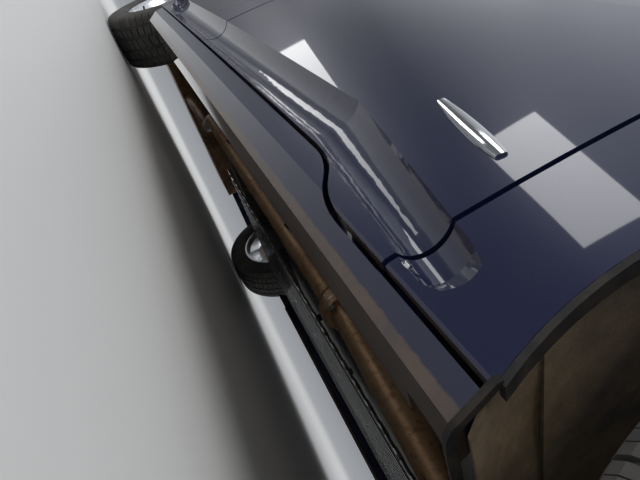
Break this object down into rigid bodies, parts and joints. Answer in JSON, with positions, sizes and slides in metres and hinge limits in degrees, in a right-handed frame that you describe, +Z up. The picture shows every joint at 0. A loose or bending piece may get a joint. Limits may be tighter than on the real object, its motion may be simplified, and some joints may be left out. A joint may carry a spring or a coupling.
{
  "type": "hybrid sedan car",
  "caption": "Saloon car with opening doors, bonnet and boot lid, steered front wheels and an exhaust under its floor.",
  "frame": {"origin": "middle of the car on the floor", "axes": "-Y towards the nose, +X to the car's left, +Z up"},
  "size_m": [2.11, 4.792, 1.4455],
  "materials": {
    "body_side_left": "gloss",
    "body_side_right": "gloss",
    "bonnet": "gloss",
    "boot_lid": "gloss",
    "roof_panel": "gloss",
    "fenders": "gloss",
    "front_bumper": "gloss",
    "rear_bumper": "gloss",
    "sill_covers": "gloss",
    "grille": "gloss",
    "cowl_panel": "satin",
    "headlamps": "gloss",
    "headlamp_lenses": "gloss",
    "tail_lamps": "gloss",
    "tail_lamp_lenses": "gloss",
    "windscreen": "gloss",
    "rear_window": "gloss",
    "arch_liners_front": "satin",
    "arch_liner_rear_left": "satin",
    "arch_liner_rear_right": "satin",
    "arch_lips": "satin",
    "undertray": "gloss",
    "floor_pan": "gloss",
    "front_structure": "gloss",
    "rear_structure": "gloss",
    "front_suspension": "satin",
    "rear_suspension": "satin",
    "exhaust": "satin",
    "engine": "satin",
    "dashboard": "satin",
    "front_seats": "satin",
    "rear_seat": "satin",
    "steering_wheel": "satin",
    "door_front_left": "gloss",
    "door_glass_front_left": "gloss",
    "tyre_front_left": "satin",
    "wheel_front_left": "satin",
    "door_front_right": "gloss",
    "door_glass_front_right": "gloss",
    "tyre_front_right": "satin",
    "wheel_front_right": "satin",
    "door_rear_left": "gloss",
    "door_glass_rear_left": "gloss",
    "tyre_rear_left": "satin",
    "wheel_rear_left": "satin",
    "door_rear_right": "gloss",
    "door_glass_rear_right": "gloss",
    "tyre_rear_right": "satin",
    "wheel_rear_right": "satin",
    "mirror_left": "gloss",
    "knuckle_left": "satin",
    "mirror_right": "gloss",
    "knuckle_right": "satin"
  },
  "bodies": {
    "body": {"body_side_left": "body_side_left", "body_side_right": "body_side_right", "roof_panel": "roof_panel", "fenders": "fenders", "front_bumper": "front_bumper", "rear_bumper": "rear_bumper", "sill_covers": "sill_covers", "grille": "grille", "cowl_panel": "cowl_panel", "headlamps": "headlamps", "headlamp_lenses": "headlamp_lenses", "tail_lamps": "tail_lamps", "tail_lamp_lenses": "tail_lamp_lenses", "windscreen": "windscreen", "rear_window": "rear_window", "arch_liners_front": "arch_liners_front", "arch_liner_rear_left": "arch_liner_rear_left", "arch_liner_rear_right": "arch_liner_rear_right", "arch_lips": "arch_lips", "undertray": "undertray", "floor_pan": "floor_pan", "front_structure": "front_structure", "rear_structure": "rear_structure", "front_suspension": "front_suspension", "rear_suspension": "rear_suspension", "exhaust": "exhaust", "engine": "engine", "dashboard": "dashboard", "front_seats": "front_seats", "rear_seat": "rear_seat"},
    "bonnet": {"bonnet": "bonnet"},
    "boot_lid": {"boot_lid": "boot_lid"},
    "steering_wheel": {"steering_wheel": "steering_wheel"},
    "door_front_left": {"door_front_left": "door_front_left", "door_glass_front_left": "door_glass_front_left", "mirror_left": "mirror_left"},
    "wheel_front_left": {"tyre_front_left": "tyre_front_left", "wheel_front_left": "wheel_front_left"},
    "door_front_right": {"door_front_right": "door_front_right", "door_glass_front_right": "door_glass_front_right", "mirror_right": "mirror_right"},
    "wheel_front_right": {"tyre_front_right": "tyre_front_right", "wheel_front_right": "wheel_front_right"},
    "door_rear_left": {"door_rear_left": "door_rear_left", "door_glass_rear_left": "door_glass_rear_left"},
    "wheel_rear_left": {"tyre_rear_left": "tyre_rear_left", "wheel_rear_left": "wheel_rear_left"},
    "door_rear_right": {"door_rear_right": "door_rear_right", "door_glass_rear_right": "door_glass_rear_right"},
    "wheel_rear_right": {"tyre_rear_right": "tyre_rear_right", "wheel_rear_right": "wheel_rear_right"},
    "knuckle_left": {"knuckle_left": "knuckle_left"},
    "knuckle_right": {"knuckle_right": "knuckle_right"}
  },
  "joints": [
    {"name": "door_front_left_hinge", "type": "hinge", "parent": "body", "child": "door_front_left", "pos_m": [0.893, -0.991, 0.6], "axis": [0, 0, -1], "range_deg": [0, 65]},
    {"name": "door_rear_left_hinge", "type": "hinge", "parent": "body", "child": "door_rear_left", "pos_m": [0.905, 0.091, 0.6], "axis": [0, 0, -1], "range_deg": [0, 65]},
    {"name": "steer_left", "type": "hinge", "parent": "body", "child": "knuckle_left", "pos_m": [0.69, -1.55, 0.2193], "axis": [-0.2038, 0, 0.979], "range_deg": [-32, 32]},
    {"name": "wheel_front_left_spin", "type": "hinge", "parent": "knuckle_left", "child": "wheel_front_left", "pos_m": [0.762, -1.55, 0.34], "axis": [1, 0, 0], "continuous": true},
    {"name": "wheel_rear_left_spin", "type": "hinge", "parent": "body", "child": "wheel_rear_left", "pos_m": [0.762, 1.3, 0.34], "axis": [1, 0, 0], "continuous": true},
    {"name": "door_front_right_hinge", "type": "hinge", "parent": "body", "child": "door_front_right", "pos_m": [-0.893, -0.991, 0.6], "axis": [0, 0, 1], "range_deg": [0, 65]},
    {"name": "door_rear_right_hinge", "type": "hinge", "parent": "body", "child": "door_rear_right", "pos_m": [-0.905, 0.091, 0.6], "axis": [0, 0, 1], "range_deg": [0, 65]},
    {"name": "steer_right", "type": "hinge", "parent": "body", "child": "knuckle_right", "pos_m": [-0.69, -1.55, 0.2193], "axis": [0.2038, 0, 0.979], "range_deg": [-32, 32]},
    {"name": "wheel_front_right_spin", "type": "hinge", "parent": "knuckle_right", "child": "wheel_front_right", "pos_m": [-0.762, -1.55, 0.34], "axis": [1, 0, 0], "continuous": true},
    {"name": "wheel_rear_right_spin", "type": "hinge", "parent": "body", "child": "wheel_rear_right", "pos_m": [-0.762, 1.3, 0.34], "axis": [1, 0, 0], "continuous": true},
    {"name": "bonnet_hinge", "type": "hinge", "parent": "body", "child": "bonnet", "pos_m": [0, -1.022, 0.89], "axis": [-1, 0, 0], "range_deg": [0, 50]},
    {"name": "boot_lid_hinge", "type": "hinge", "parent": "body", "child": "boot_lid", "pos_m": [0, 1.5, 1.02], "axis": [1, 0, 0], "range_deg": [0, 70]},
    {"name": "steering_wheel_turn", "type": "hinge", "parent": "body", "child": "steering_wheel", "pos_m": [0.38, -0.47, 0.83], "axis": [0, 0.8983, 0.4393], "range_deg": [-460, 460]}
  ],
  "couplings": [
    {"joint": "steer_right", "follows": "steer_left", "ratio": 1},
    {"joint": "steering_wheel_turn", "follows": "steer_left", "ratio": 14}
  ]
}
